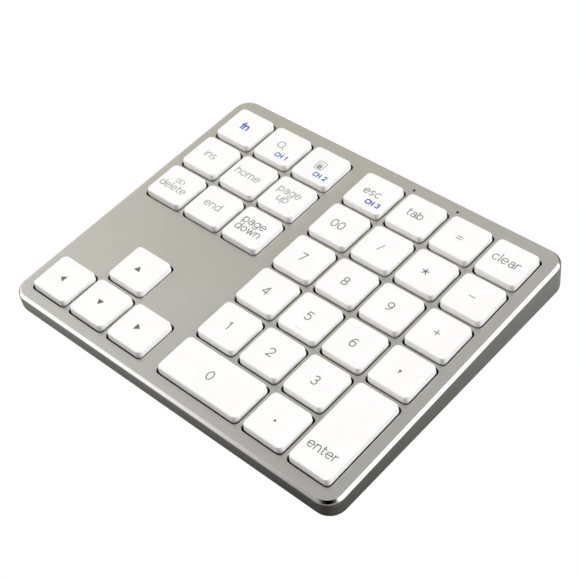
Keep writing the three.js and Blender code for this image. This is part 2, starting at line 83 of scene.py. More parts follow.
COVER_THICK = 1.6
BOSS_RADIUS = 1.9
PILOT_RADIUS = 1.1
PILOT_TOP = -2.2
PAD_HEIGHT = 2.4
POCKET_RADIUS = 2.1
POCKET_DEPTH = 1.4
SCREW_HEAD_RADIUS = 1.75
SCREW_HEAD_HEIGHT = 1.0
SCREW_HEAD_SINK = 0.1
SCREW_SHAFT_RADIUS = 0.8
SCREW_SHAFT_LENGTH = 4.2
FOOT_RADIUS = 4.5
FOOT_BELOW = 0.8
FOOT_SUNK = 0.2
RIB_WIDTH = 2.4
RIB_BOTTOM = -3.6
SHEET_BACK = 55.3
PORT_MIDDLE = -8.23
SOCKET = {"width": 8.94, "height": 3.2, "corner": 1.5, "front": 53.8, "back": 60.9, "skin": 0.35}
PORT_CLEARANCE = 0.35
KNOB = {"x": 43.0, "width": 2.6, "height": 1.5, "front": 56.9, "back": 62.0}
KNOB_TRAVEL = 2.0
KNOB_CLEARANCE = 0.4
LIGHT_PLACES = [(12.2, 57.2), (31.2, 57.2)]
LIGHT_HOLE_RADIUS = 0.55

HALF_DEPTH = CASE_DEPTH / 2
SLOPE = (BACK_HEIGHT - FRONT_HEIGHT) / CASE_DEPTH

# These three are the visual model's own, inside the CAD model's box: a softer edge on the caps (0.35 there),
# tighter corners in the openings (2.3 there) and slimmer plungers (2.4 there).
CAP_EDGE = 0.4
APERTURE_CORNER = 1.9
PLUNGER_RADIUS = 2.3


def underside(y):
    """Height of the case's flat underside at a place along the deck."""
    return -(FRONT_HEIGHT + SLOPE * (y + HALF_DEPTH))


PRESS = next(joint for joint in frame["joints"] if joint["name"] == "key_fn_press")
TILT = atan2(PRESS["axis"][1], -PRESS["axis"][2])


def deck_transform():
    """The deck frame, in millimetres, to the row frame, from the keys' axis and the case's box."""
    low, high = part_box("top_case")
    y = low.y / MM + HALF_DEPTH * cos(TILT) - EDGE_CHAMFER * sin(TILT)
    z = high.z / MM - (HALF_DEPTH - EDGE_CHAMFER) * sin(TILT)
    return Matrix.Scale(MM, 4) @ Matrix.Translation((0, y, z)) @ Matrix.Rotation(TILT, 4, "X")


DECK = deck_transform()

# ---- the keys' places

KEY_ROWS = [
    [["fn", "search", "calculator"], ["escape", "tab", "equals", "clear"]],
    [["insert", "home", "page_up"], ["double_zero", "divide", "multiply", "minus"]],
    [["delete", "end", "page_down"], ["7", "8", "9", "plus"]],
    [[None, None, None], ["4", "5", "6", "comma"]],
    [[None, "arrow_up", None], ["1", "2", "3", "enter"]],
    [["arrow_left", "arrow_down", "arrow_right"], ["0", None, "point", None]],
]
KEY_SPANS = {"0": (2, 1), "enter": (1, 2)}


def column_x(block, column):
    return FIRST_KEY[0] + (3 * block + column) * KEY_PITCH_X + block * BLOCK_GAP


def row_y(row):
    return FIRST_KEY[1] - row * KEY_PITCH_Y


def key_list():
    """Each key as its name, the middle of its cap, and what a long cap adds to its width and depth."""
    keys = []
    for row, blocks in enumerate(KEY_ROWS):
        for block, names in enumerate(blocks):
            for column, name in enumerate(names):
                if name is None:
                    continue
                across, down = KEY_SPANS.get(name, (1, 1))
                extra = ((across - 1) * KEY_PITCH_X, (down - 1) * KEY_PITCH_Y)
                x = column_x(block, column) + extra[0] / 2
                y = row_y(row) - extra[1] / 2
                keys.append({"name": name, "x": x, "y": y, "extra": extra})
    return keys


KEYS = key_list()
BETWEEN_BLOCKS = (column_x(0, 2) + column_x(1, 0)) / 2
SCREW_PLACES = [
    (column_x(0, 0.5), row_y(0.5)),
    (column_x(1, 2.5), row_y(0.5)),
    (column_x(0, 0.5), row_y(3)),
    (column_x(1, 2.5), row_y(2.5)),
    (BETWEEN_BLOCKS, row_y(5)),
    (column_x(1, 1.5), row_y(3.5)),
]
POST_PLACES = [(-64, 50), (-64, 15), (-64, -40), (0, 15), (0, -30), (64, 50), (64, 15), (64, -40)]
FOOT_PLACES = {"back_left": (-60, 47), "back_right": (60, 47)}
FOOT_PLACES |= {"front_left": (-60, -50), "front_right": (60, -50)}

# ---- materials


class Nodes:
    """Short ways to add and join the nodes of one tree."""

    def __init__(self, tree):
        self.tree = tree

    def node(self, kind, constants=None, **settings):
        """A shader node, with its settings and the constants on its sockets."""
        made = self.tree.nodes.new("ShaderNode" + kind)
        for key, value in settings.items():
            setattr(made, key, value)
        for socket, value in (constants or {}).items():
            made.inputs[socket].default_value = value
        return made

    def link(self, start, end):
        self.tree.links.new(start, end)

    def combine(self, operation, first, second):
        """Arithmetic on two numbers, each a socket or a constant."""
        made = self.node("Math", operation=operation)
        for socket, source in zip(made.inputs, (first, second)):
            if isinstance(source, bpy.types.NodeSocket):
                self.link(source, socket)
            else:
                socket.default_value = source
        return made.outputs["Value"]

    def compare(self, operation, source, vector):
        """The distance or dot product of a vector socket and a constant vector."""
        made = self.node("VectorMath", {1: vector}, operation=operation)
        self.link(source, made.inputs[0])
        return made.outputs["Value"]

    def spread(self, source, low, high, start=0.3, end=0.7, **settings):
        """The source's values from start to end, taken to the range from low to high."""
        ranges = {"From Min": start, "From Max": end, "To Min": low, "To Max": high}
        spread = self.node("MapRange", ranges, **settings)
        self.link(source, spread.inputs["Value"])
        return spread.outputs["Result"]

    def tint(self, source, dark, light, start=0.3, end=0.7):
        """The source's values from start to end, taken to the colors from dark to light."""
        ramp = self.node("ValToRGB")
        for element, position, color in zip(ramp.color_ramp.elements, (start, end), (dark, light)):
            element.position = position
            element.color = (*color, 1)
        self.link(source, ramp.inputs["Fac"])
        return ramp.outputs["Color"]

    def white_to_camera(self, shader, white_kind, output):
        """Plain white where the camera sees it directly, and the given shader for every other ray."""
        white = self.node(white_kind, {"Color": (1, 1, 1, 1)})
        mix = self.node("MixShader")
        self.link(self.node("LightPath").outputs["Is Camera Ray"], mix.inputs["Fac"])
        self.link(shader, mix.inputs[1])
        self.link(white.outputs[0], mix.inputs[2])
        self.link(mix.outputs["Shader"], self.tree.nodes[output].inputs["Surface"])


class Shade(Nodes):
    """A node material: a Principled shader and ways to add the nodes that feed it."""

    def __init__(self, name, color, roughness, **constants):
        self.material = bpy.data.materials.new(name)
        self.material.use_nodes = True
        super().__init__(self.material.node_tree)
        self.shader = self.tree.nodes["Principled BSDF"]
        constants |= {"Base_Color": (*color, 1), "Roughness": roughness}
        for socket, value in constants.items():
            self.shader.inputs[socket.replace("_", " ")].default_value = value
        self.place = self.node("TexCoord").outputs["Object"]

    def feed(self, source, socket):
        self.link(source, self.shader.inputs[socket])

    def noise(self, scale, detail=3.0, stretch=(1, 1, 1)):
        """Noise with that many features to the metre, drawn out along an axis by stretch."""
        mapping = self.node("Mapping", {"Scale": stretch})
        self.link(self.place, mapping.inputs["Vector"])
        texture = self.node("TexNoise", {"Scale": scale, "Detail": detail})
        self.link(mapping.outputs["Vector"], texture.inputs["Vector"])
        return texture.outputs["Fac"]

    def worn_edges(self, base, worn, strength):
        """Takes the color towards worn where the surface turns sharply outwards."""
        turn = self.node("NewGeometry").outputs["Pointiness"]
        mix = self.node("Mix", {"B": (*worn, 1)}, data_type="RGBA")
        self.link(self.spread(turn, 0.0, strength, 0.52, 0.62), mix.inputs["Factor"])
        self.link(base, mix.inputs["A"])
        return mix.outputs["Result"]

    def bump(self, source, strength, depth):
        bump = self.node("Bump", {"Strength": strength, "Distance": MM * depth})
        self.link(source, bump.inputs["Height"])
        self.feed(bump.outputs["Normal"], "Normal")


def surface(name, color, rough, shades, polish, coarse, fine, bump, patch=(0.3, 0.7), worn=None, **constants):
    """A material from two noises, each given as scale, detail and stretch.

    The coarse one takes the color through shades. The fine one, or the coarse one where fine is None, takes
    the roughness through polish and makes the bump, which is a strength and a depth in millimetres.
    """
    shade = Shade(name, color, rough, **constants)
    patches = shade.noise(*coarse)
    base = shade.tint(patches, *shades, *patch)
    shade.feed(shade.worn_edges(base, *worn) if worn else base, "Base Color")
    grain = shade.noise(*fine) if fine else patches
    shade.feed(shade.spread(grain, *polish), "Roughness")
    shade.bump(grain, *bump)
    return shade.material


def around(color, dark, light):
    """The color made darker and lighter."""
    return tuple(c * dark for c in color), tuple(min(1.0, c * light) for c in color)


def ink(name, color):
    """Printed legend ink, a little uneven."""
    lighter = tuple(min(1.0, c * 1.25 + 0.02) for c in color)
    return surface(name, color, 0.55, (color, lighter), (0.45, 0.62), (2600,), None, (0.1, 0.01))


def moulded(name, color, rough, grain_size=3000, depth=0.02, strength=0.3, worn=None, **constants):
    """Moulded plastic or rubber with an even grain and a faint mottle."""
    shades = around(color, 0.9, 1.1)
    polish = (rough - 0.06, rough + 0.06)
    edges = worn and (worn, 0.45)
    bump = (strength, depth)
    return surface(name, color, rough, shades, polish, (140, 4), (grain_size,), bump, worn=edges, **constants)


def rolled(name, color, rough, along):
    """Sheet or wire metal with fine lines along the way that it was rolled or drawn."""
    shades = around(color, 0.88, 1.1)
    polish = (rough - 0.07, rough + 0.09)
    return surface(name, color, rough, shades, polish, (1400, 3, along), None, (0.15, 0.01), Metallic=1.0)


def film(name, color, rough):
    """Glossy sheet with a slight unevenness."""
    polish = (rough - 0.06, rough + 0.1)
    return surface(name, color, rough, around(color, 0.92, 1.06), polish, (220,), None, (0.1, 0.05))


LOOKS = {
    # Fine blasted and anodised aluminium, with a faint drift of color.
    "deck": surface(
        "anodised_deck", (0.634, 0.608, 0.545), 0.36, ((0.619, 0.593, 0.531), (0.649, 0.623, 0.559)),
        (0.28, 0.36), (18, 2), (4200, 2), (0.07, 0.02), (0.35, 0.65), Metallic=0.9,
    ),
    # The bright edge left by a cutter, with fine lines along it.
    "chamfer": surface(
        "cut_chamfer", (0.92, 0.885, 0.8), 0.1, ((0.88, 0.845, 0.765), (0.96, 0.925, 0.835)),
        (0.07, 0.14), (900, 2, (1, 1, 14)), None, (0.05, 0.01), Metallic=1.0,
    ),
    # The satin side wall, a shade darker than the deck.
    "wall": surface(
        "case_wall", (0.52, 0.52, 0.47), 0.36, ((0.5, 0.5, 0.452), (0.54, 0.54, 0.488)),
        (0.31, 0.41), (60, 3), (3600, 2), (0.2, 0.02), Metallic=0.92,
    ),
    # White key plastic with a fine moulded texture and a slightly polished edge.
    "cap": surface(
        "cap_plastic", (0.875, 0.862, 0.83), 0.42, ((0.86, 0.848, 0.815), (0.885, 0.873, 0.842)),
        (0.36, 0.48), (90, 3), (5200, 2), (0.12, 0.02),
        worn=((0.905, 0.9, 0.885), 0.6), Specular_IOR_Level=0.45,
    ),
    "ink_grey": ink("ink_grey", (0.17, 0.163, 0.15)),
    "ink_blue": ink("ink_blue", (0.015, 0.075, 0.44)),
    "ink_pale": ink("ink_pale", (0.31, 0.295, 0.265)),
    "ink_dark": ink("ink_dark", (0.1, 0.097, 0.092)),
    "cover": moulded("cover_plastic", (0.36, 0.355, 0.34), 0.55, 2600, 0.03, worn=(0.45, 0.445, 0.43)),
    "foot": moulded("foot_rubber", (0.035, 0.035, 0.036), 0.82, 1800, 0.04, 0.4, worn=(0.09, 0.09, 0.09)),
    "dome": moulded("dome_rubber", (0.012, 0.012, 0.013), 0.7, 2200, 0.02),
    "black": moulded("black_plastic", (0.014, 0.014, 0.016), 0.45, 3000, 0.015, worn=(0.05, 0.05, 0.055)),
    "clear": moulded("smoked_plastic", (0.02, 0.02, 0.022), 0.18, 2000, 0.005, Coat_Weight=0.3),
    "screw": rolled("dark_screw", (0.11, 0.11, 0.115), 0.38, (1, 1, 5)),
    "steel": rolled("rolled_steel", (0.42, 0.42, 0.41), 0.34, (0.08, 3, 1)),
    "shell": rolled("plated_shell", (0.55, 0.55, 0.54), 0.26, (0.1, 2, 1)),
    "gold": rolled("contact_gold", (0.78, 0.55, 0.2), 0.25, (1, 0.2, 1)),
    "film": film("membrane_film", (0.5, 0.52, 0.42), 0.28),
    "tail": film("tail_film", (0.42, 0.17, 0.045), 0.32),
    "pouch": film("battery_foil", (0.38, 0.39, 0.41), 0.3),
    # Green solder mask over a faint weave, with darker patches where copper lies under it.
    "board": surface(
        "board_mask", (0.016, 0.09, 0.042), 0.38, ((0.012, 0.07, 0.032), (0.024, 0.125, 0.06)),
        (0.3, 0.46), (420, 1, (1, 3, 1)), (2400, 2), (0.15, 0.02), (0.45, 0.55),
    ),
}

# ---- mesh helpers


def rounded_ring(width, depth, radius, steps, middle=(0, 0)):
    """A rounded rectangle as a counter-clockwise ring of (x, y)."""
    ring = []
    for corner in range(4):
        start = corner * pi / 2
        side_x = 1 if corner in (0, 3) else -1
        side_y = 1 if corner < 2 else -1
        for step in range(steps + 1):
            angle = start + step / steps * pi / 2
            x = side_x * (width / 2 - radius) + radius * cos(angle)
            y = side_y * (depth / 2 - radius) + radius * sin(angle)
            ring.append((middle[0] + x, middle[1] + y))
    return ring


def grown(width, depth, radius, steps, middle=(0, 0)):
    """A rounded rectangle as a function of the margin that it is grown by."""
    return lambda grow: rounded_ring(width + 2 * grow, depth + 2 * grow, radius + grow, steps, middle)


def circle(middle, radius, sides):
    turns = [2 * pi * step / sides for step in range(sides)]
    return [(middle[0] + radius * cos(a), middle[1] + radius * sin(a)) for a in turns]


def case_ring(inset):
    radius = max(CASE_CORNER - inset, 0.5)
    return rounded_ring(CASE_WIDTH - 2 * inset, CASE_DEPTH - 2 * inset, radius, 12)


def quarter(steps):
    """Pairs of (1 - cos, sin) through a quarter turn, for a rounded edge."""
    angles = [step / steps * pi / 2 for step in range(steps + 1)]
    return [(1 - cos(a), sin(a)) for a in angles]


class Body:
    """A bmesh in the deck frame, in millimetres, with the ways its faces are added."""

    def __init__(self):
        self.mesh = bmesh.new()

    def ring(self, points, height):
        """Adds a ring of vertices at a height, which is a number or a function of y."""
        at = height if callable(height) else (lambda y: height)
        return [self.mesh.verts.new((x, y, at(y))) for x, y in points]

    def band(self, lower, upper, look=0, smooth=True):
        """Joins two rings by quads. Seen from outside, the rings run counter-clockwise."""
        count = len(lower)
        for at in range(count):
            after = (at + 1) % count
            face = self.mesh.faces.new((lower[at], lower[after], upper[after], upper[at]))
            face.material_index = look
            face.smooth = smooth

    def bands(self, rings, look=0, smooth=True):
        for lower, upper in zip(rings, rings[1:]):
            self.band(lower, upper, look, smooth)

    def lid(self, ring, look=0, down=False):
        self.mesh.faces.new(ring[::-1] if down else ring).material_index = look

    def sheet(self, rings, look=0, down=False):
        """Fills the flat region between the first ring and the rings inside it."""
        edges = []
        for ring in rings:
            for at, vertex in enumerate(ring):
                after = ring[(at + 1) % len(ring)]
                edges.append(self.mesh.edges.get((vertex, after)) or self.mesh.edges.new((vertex, after)))
        filled = bmesh.ops.triangle_fill(self.mesh, edges=edges, use_beauty=True, use_dissolve=False)
        for face in filled["geom"]:
            if isinstance(face, bmesh.types.BMFace):
                face.normal_update()
                if (face.normal.z > 0) == down:
                    face.normal_flip()
                face.material_index = look

    def loft(self, outlines, look=0, smooth=True):
        """A closed solid through (points, height) outlines from the lowest to the highest."""
        rings = [self.ring(points, height) for points, height in outlines]
        self.bands(rings, look, smooth)
        self.lid(rings[0], look, down=True)
        self.lid(rings[-1], look)

    def rings(self, ring_at, profile):
        """Rings given as (size, height). ring_at makes the outline from the size."""
        return [self.ring(ring_at(size), height) for size, height in profile]

    def rounds(self, place, profile, sides=32):
        """Circles round a place, each given as (radius, height)."""
        return self.rings(lambda radius: circle(place, radius, sides), profile)

    def settle(self, matrix):
        """Takes the mesh to the row frame, with its faces outwards."""
        bmesh.ops.transform(self.mesh, matrix=matrix, verts=self.mesh.verts)
        bmesh.ops.recalc_face_normals(self.mesh, faces=self.mesh.faces)


def put_in_scene(name, data):
    made = bpy.data.objects.new(name, data)
    bpy.context.scene.collection.objects.link(made)
    return made


def angle_split(mesh, degrees):
    """Marks edges sharper than the angle, so that smooth faces keep their corners."""
    limit = radians(degrees)
    for edge in mesh.edges:
        edge.smooth = len(edge.link_faces) == 2 and edge.calc_face_angle(0) < limit


def finish_piece(name, body, looks, follow, replaced, matrix=DECK, sharp=35, cutter=None):
    """Turns a body into an object in the row frame that rides on a CAD body."""
    body.settle(matrix)
    data = bpy.data.meshes.new(name)
    body.mesh.to_mesh(data)
    for look in looks:
        data.materials.append(LOOKS[look])
    piece = put_in_scene(name, data)
    if cutter is not None:
        cut_from(piece, cutter)
        body.mesh.clear()
        body.mesh.from_mesh(piece.data)
    angle_split(body.mesh, sharp)
    body.mesh.to_mesh(piece.data)
    body.mesh.free()
    flat_first = piece.modifiers.new("flat_faces_first", "WEIGHTED_NORMAL")
    flat_first.keep_sharp = True
    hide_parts(*replaced)
    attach(piece, follow)


def cut_from(piece, body):
    """Takes a body away from a piece for good, with an exact boolean."""
    body.settle(DECK)
    data = bpy.data.meshes.new("cutter")
    body.mesh.to_mesh(data)
    body.mesh.free()
    for material in piece.data.materials:
        data.materials.append(material)
    cutter = put_in_scene("cutter", data)
    modifier = piece.modifiers.new("cut", "BOOLEAN")
    modifier.operation = "DIFFERENCE"
    modifier.solver = "EXACT"
    modifier.object = cutter
    bpy.context.view_layer.update()
    graph = bpy.context.evaluated_depsgraph_get()
    result = bpy.data.meshes.new_from_object(piece.evaluated_get(graph))
    piece.modifiers.remove(modifier)
    old = piece.data
    piece.data = result
    bpy.data.meshes.remove(old)
    bpy.data.objects.remove(cutter)
    bpy.data.meshes.remove(data)


# ---- legends

STROKE = 0.42
WORD_STROKE = 0.38
INK_RISE = 0.025
INK_ROOT = 0.04  # how far the ink reaches down into the cap
INK_STEP = 0.0004  # each stroke stands this much higher than the last one, so that no two faces coincide
X_HEIGHT = 2.25
ARC_STEP = radians(15)


def line(*points):
    """Straight strokes through the points."""
    return [[a, b] for a, b in zip(points, points[1:])]


def stem(x, end=1, start=0):
    """An upright stroke."""
    return line((x, start), (x, end))


def bar(y, right):
    """A level stroke."""
    return line((0, y), (right, y))


def arc(x, y, wide, high, start=0, end=360):
    """One curved stroke: part of an ellipse, from one angle to another."""
    first, last = radians(start), radians(end)
    count = max(4, round(abs(last - first) / ARC_STEP))
    turns = [first + (last - first) * step / count for step in range(count + 1)]
    return [[(x + wide * cos(a), y + high * sin(a)) for a in turns]]


BOWL = arc(0.45, 0.5, 0.45, 0.5)
ARCH = arc(0.4, 0.6, 0.4, 0.4, 180, 0) + stem(0.8, 0, 0.6)
HUMP, NEXT_HUMP = (arc(x, 0.66, 0.34, 0.34, 180, 0) for x in (0.34, 1.02))

# Each sign as its width and its strokes, where 1 is the height of a small letter and 1.45 of a tall one.
SIGNS = {
    "a": (0.74, arc(0.36, 0.29, 0.36, 0.29) + stem(0.74, 0.64) + arc(0.4, 0.64, 0.34, 0.36, 0, 150)),
    "b": (0.9, BOWL + stem(0, 1.45)),
    "c": (0.78, arc(0.45, 0.5, 0.45, 0.5, 48, 312)),
    "d": (0.9, BOWL + stem(0.9, 1.45)),
    "e": (0.9, bar(0.52, 0.9) + arc(0.45, 0.5, 0.45, 0.5, 0, 315)),
    "f": (0.5, arc(0.48, 1.13, 0.26, 0.32, 85, 180) + stem(0.22, 0, 1.13) + bar(1, 0.5)),
    "g": (0.9, BOWL + stem(0.9, -0.02, 1) + arc(0.46, -0.02, 0.44, 0.4, 0, -150)),
    "h": (0.8, stem(0, 1.45) + ARCH),
    "i": (0.0, stem(0) + stem(0, 1.4, 1.36)),
    "l": (0.0, stem(0, 1.45)),
    "m": (1.36, stem(0) + HUMP + stem(0.68, 0, 0.66) + NEXT_HUMP + stem(1.36, 0, 0.66)),
    "n": (0.8, stem(0) + ARCH),
    "o": (0.9, BOWL),
    "p": (0.9, BOWL + stem(0, 1, -0.42)),
    "r": (0.46, stem(0) + arc(0.4, 0.6, 0.4, 0.4, 180, 75)),
    "s": (0.7, arc(0.36, 0.745, 0.32, 0.255, 35, 270) + arc(0.34, 0.245, 0.35, 0.245, 90, -145)),
    "t": (0.52, stem(0.18, 0.28, 1.34) + arc(0.46, 0.28, 0.28, 0.28, 180, 275) + bar(1, 0.52)),
    "u": (0.8, stem(0, 0.4, 1) + arc(0.4, 0.4, 0.4, 0.4, 180, 360) + stem(0.8, 0, 1)),
    "w": (1.24, line((0, 1), (0.31, 0), (0.62, 0.95), (0.93, 0), (1.24, 1))),
    "0": (0.96, arc(0.48, 0.725, 0.48, 0.725)),
    "1": (0.34, line((0, 1.2), (0.34, 1.45), (0.34, 0))),
    "2": (0.92, arc(0.45, 1.02, 0.45, 0.43, 165, -35) + line((0.82, 0.77), (0, 0), (0.92, 0))),
    "3": (0.88, arc(0.42, 1.09, 0.4, 0.36, 150, -90) + arc(0.42, 0.365, 0.45, 0.365, 90, -150)),
    "4": (1.0, line((0.72, 0), (0.72, 1.45), (0, 0.4), (1.0, 0.4))),
    "5": (0.9, line((0.84, 1.45), (0.17, 1.45), (0.08, 0.78)) + arc(0.42, 0.46, 0.47, 0.46, 136, -145)),
    "6": (0.92, arc(0.46, 0.44, 0.46, 0.44) + arc(0.74, 0.5, 0.74, 0.94, 88, 184)),
    "7": (0.9, line((0, 1.45), (0.9, 1.45), (0.3, 0))),
    "8": (0.9, arc(0.45, 1.09, 0.37, 0.36) + arc(0.45, 0.365, 0.45, 0.365)),
    "9": (0.92, arc(0.46, 1.01, 0.46, 0.44) + arc(0.18, 0.95, 0.74, 0.94, -92, 4)),
    "C": (1.05, arc(0.6, 0.725, 0.6, 0.725, 48, 312)),
    "H": (0.95, stem(0, 1.45) + stem(0.95, 1.45) + bar(0.74, 0.95)),
    "=": (1.1, bar(0.3, 1.1) + bar(0.8, 1.1)),
    "/": (0.6, line((0, 0), (0.6, 1.4))),
    "-": (1.0, bar(0.5, 1.0)),
    "+": (1.0, bar(0.5, 1.0) + stem(0.5)),
    " ": (0.35, []),
}


def add_stroke(body, points, width, look, number):
    """A flat stroke with round ends, laid on the cap."""
    closed = dist(points[0], points[-1]) < 1e-6
    path = points[:-1] if closed else points
    left, right = [], []
    for at, point in enumerate(path):
        before = path[at - 1] if at or closed else None
        after = path[(at + 1) % len(path)] if closed or at + 1 < len(path) else None
        ahead = Vector(after) - Vector(point) if after else Vector(point) - Vector(before)
        behind = Vector(point) - Vector(before) if before else ahead
        along = (ahead.normalized() + behind.normalized()).normalized()
        across = Vector((-along.y, along.x)) * width / 2
        left.append((point[0] + across.x, point[1] + across.y))
        right.append((point[0] - across.x, point[1] - across.y))
    low, high = CAP_RISE - INK_ROOT, CAP_RISE + INK_RISE + number * INK_STEP
    if closed:
        rings = [body.ring(points, height) for points in (left, right) for height in (low, high)]
        left_low, left_high, right_low, right_high = rings
        body.band(left_low, left_high, look)
        body.band(right_high, right_low, look)
        body.band(left_high, right_high, look, smooth=False)
        body.band(right_low, left_low, look, smooth=False)
        return
    around_end = end_cap(path[-1], right[-1], width)
    around_start = end_cap(path[0], left[0], width)
    outlines = []
    for height in (low, high):
        edges = [body.ring(points, height) for points in (left, right, around_end, around_start)]
        left_ring, right_ring, end_ring, start_ring = edges
        for at in range(len(path) - 1):
            body.lid([left_ring[at], right_ring[at], right_ring[at + 1], left_ring[at + 1]], look)
        body.lid([left_ring[0], *start_ring, right_ring[0]], look)
        body.lid([right_ring[-1], *end_ring, left_ring[-1]], look)
        outlines.append([*right_ring, *end_ring, *reversed(left_ring), *start_ring])
    body.band(outlines[0], outlines[1], look)


def end_cap(middle, start, width, steps=6):
    """The points strictly between the two corners of a stroke's round end."""
    first = atan2(start[1] - middle[1], start[0] - middle[0])
    turns = [first + pi * step / steps for step in range(1, steps)]
    return [(middle[0] + width / 2 * cos(a), middle[1] + width / 2 * sin(a)) for a in turns]


LEGEND_X = -0.3  # the legends stand a little left of the cap's middle
LEGEND_Y = -0.1  # and a little in front of it
GREY, BLUE, PALE, DARK = 1, 2, 3, 4


class Legend:
    """Adds ink to a cap. Places are in millimetres from the middle of the cap's face."""

    def __init__(self, body, middle):
        self.body = body
        self.middle = (middle[0], middle[1] + LEGEND_Y)
        self.count = 0

    def strokes(self, strokes, x=0, y=0, scale=1, look=GREY, width=STROKE):
        """Draws strokes, scaled and then moved to x and y."""
        middle_x, middle_y = self.middle
        for stroke in strokes:
            points = [(middle_x + x + scale * px, middle_y + y + scale * py) for px, py in stroke]
            add_stroke(self.body, points, width, look, self.count)
            self.count += 1

    def text(self, text, x=LEGEND_X, y=0.0, scale=X_HEIGHT, look=GREY, width=STROKE, space=0.32, tall=1.0):
        """Writes the text with its middle at x and its small letters' middle at y."""
        total = sum(SIGNS[sign][0] for sign in text) + space * (len(text) - 1)
        left = x - total * scale / 2
        for sign in text:
            wide, strokes = SIGNS[sign]
            self.strokes(strokes, left, y - tall * scale / 2, scale, look, width)
            left += (wide + space) * scale

    def solid(self, outline, look=GREY):
        """A filled outline, counter-clockwise."""
        points = [(self.middle[0] + x, self.middle[1] + y) for x, y in outline]
        self.body.loft([(points, CAP_RISE - INK_ROOT), (points, CAP_RISE + INK_RISE)], look, smooth=False)


def draw_search(legend):
    handle = line((LEGEND_X + 0.7, -0.35), (LEGEND_X + 1.7, -1.35))
    legend.strokes(arc(LEGEND_X - 0.45, 0.75, 1.5, 1.5) + handle, width=0.3)


def draw_calculator(legend):
    frame_ring = rounded_ring(3.5, 4.1, 0.6, 4, (LEGEND_X, 0.3))
    legend.strokes([frame_ring + frame_ring[:1]], width=0.24)
    legend.solid(rounded_ring(2.3, 0.22, 0.08, 3, (LEGEND_X, 1.3)))
    for row in range(3):
        for column in range(3):
            middle = (LEGEND_X + 0.66 * (column - 1), 0.3 - 0.66 * row)
            legend.solid(rounded_ring(0.58, 0.58, 0.1, 2, middle))


def draw_erase(legend):
    tip, side, back, high = 1.9, 0.95, -1.75, 0.95
    corners = [(back, -high), (side, -high), (tip, 0), (side, high), (back, high), (back, -high)]
    crossing = line((-0.85, -0.45), (0.15, 0.45)) + line((-0.85, 0.45), (0.15, -0.45))
    legend.strokes(line(*corners) + crossing, LEGEND_X + 0.75, 2.15, look=PALE, width=0.26)


def draw_star(legend):
    for arm in range(5):
        angle = radians(90 + 72 * arm)
        end = (LEGEND_X + 1.25 * cos(angle), 1.25 * sin(angle))
        legend.strokes(line((LEGEND_X, 0), end), look=DARK)


def draw_arrow(legend, degrees):
    turn = radians(degrees)
    along = (cos(turn), sin(turn))
    corners = [(1.1, 0), (-1.0, 1.37), (-1.0, -1.37)]
    outline = [(LEGEND_X + x * along[0] - y * along[1], x * along[1] + y * along[0]) for x, y in corners]
    legend.solid(outline, DARK)


def draw_point(legend):
    legend.solid(circle((LEGEND_X, -0.6), 0.45, 20), DARK)


def draw_comma(legend):
    legend.solid(circle((LEGEND_X + 0.1, -0.2), 0.45, 16), DARK)
    tail = line((LEGEND_X + 0.28, -0.35), (LEGEND_X - 0.1, -1.1))
    legend.strokes(tail, look=DARK, width=0.36)


DRAWINGS = {
    "search": draw_search,
    "calculator": draw_calculator,
    "delete": draw_erase,
    "multiply": draw_star,
    "point": draw_point,
    "comma": draw_comma,
}
ARROWS = {"arrow_up": 90, "arrow_left": 180, "arrow_down": 270, "arrow_right": 0}
DIGIT = {"scale": 2.3, "tall": 1.45}
WORD = {"width": WORD_STROKE}
PALE_WORD = WORD | {"look": PALE}
FN = {"x": LEGEND_X + 0.15, "y": 0.2, "scale": 2.2, "look": BLUE, "width": 0.68, "space": 0.2, "tall": 1.2}
SIGN = {"width": 0.36, "scale": 2.1}
UPPER, LOWER = {"y": 1.95}, {"y": -1.95}
CHANNEL = {"x": 3.1, "y": -4.1, "scale": 1.3, "look": BLUE, "width": 0.44, "space": 0.4, "tall": 1.45}
TEXTS = {name: [(name, DIGIT)] for name in "0123456789"} | {
    "double_zero": [("00", DIGIT)],
    "equals": [("=", SIGN | {"scale": 2.0})],
    "divide": [("/", SIGN | {"tall": 1.4})],
    "minus": [("-", SIGN)],
    "plus": [("+", SIGN | {"scale": 2.2})],
    "fn": [("fn", FN)],
    "escape": [("esc", WORD), ("CH 3", CHANNEL | {"width": 0.5})],
    "search": [("CH 1", CHANNEL)],
    "calculator": [("CH 2", CHANNEL)],
    "tab": [("tab", WORD)],
    "clear": [("clear", WORD | {"scale": 2.45})],
    "insert": [("ins", PALE_WORD)],
    "home": [("home", PALE_WORD)],
    "end": [("end", PALE_WORD)],
    "page_up": [("page", PALE_WORD | UPPER), ("up", PALE_WORD | LOWER)],
    "page_down": [("page", WORD | UPPER), ("down", WORD | LOWER)],
    "delete": [("delete", PALE_WORD | {"y": -1.6, "scale": 2.1})],
    "enter": [("enter", WORD | {"y": -KEY_PITCH_Y / 2 - 0.3})],
}


def draw_legend(name, legend):
    """The marking of one key."""
    if name in ARROWS:
        draw_arrow(legend, ARROWS[name])
    if name in DRAWINGS:
        DRAWINGS[name](legend)
    for text, settings in TEXTS.get(name, []):
        legend.text(text, **settings)


# ---- keycaps


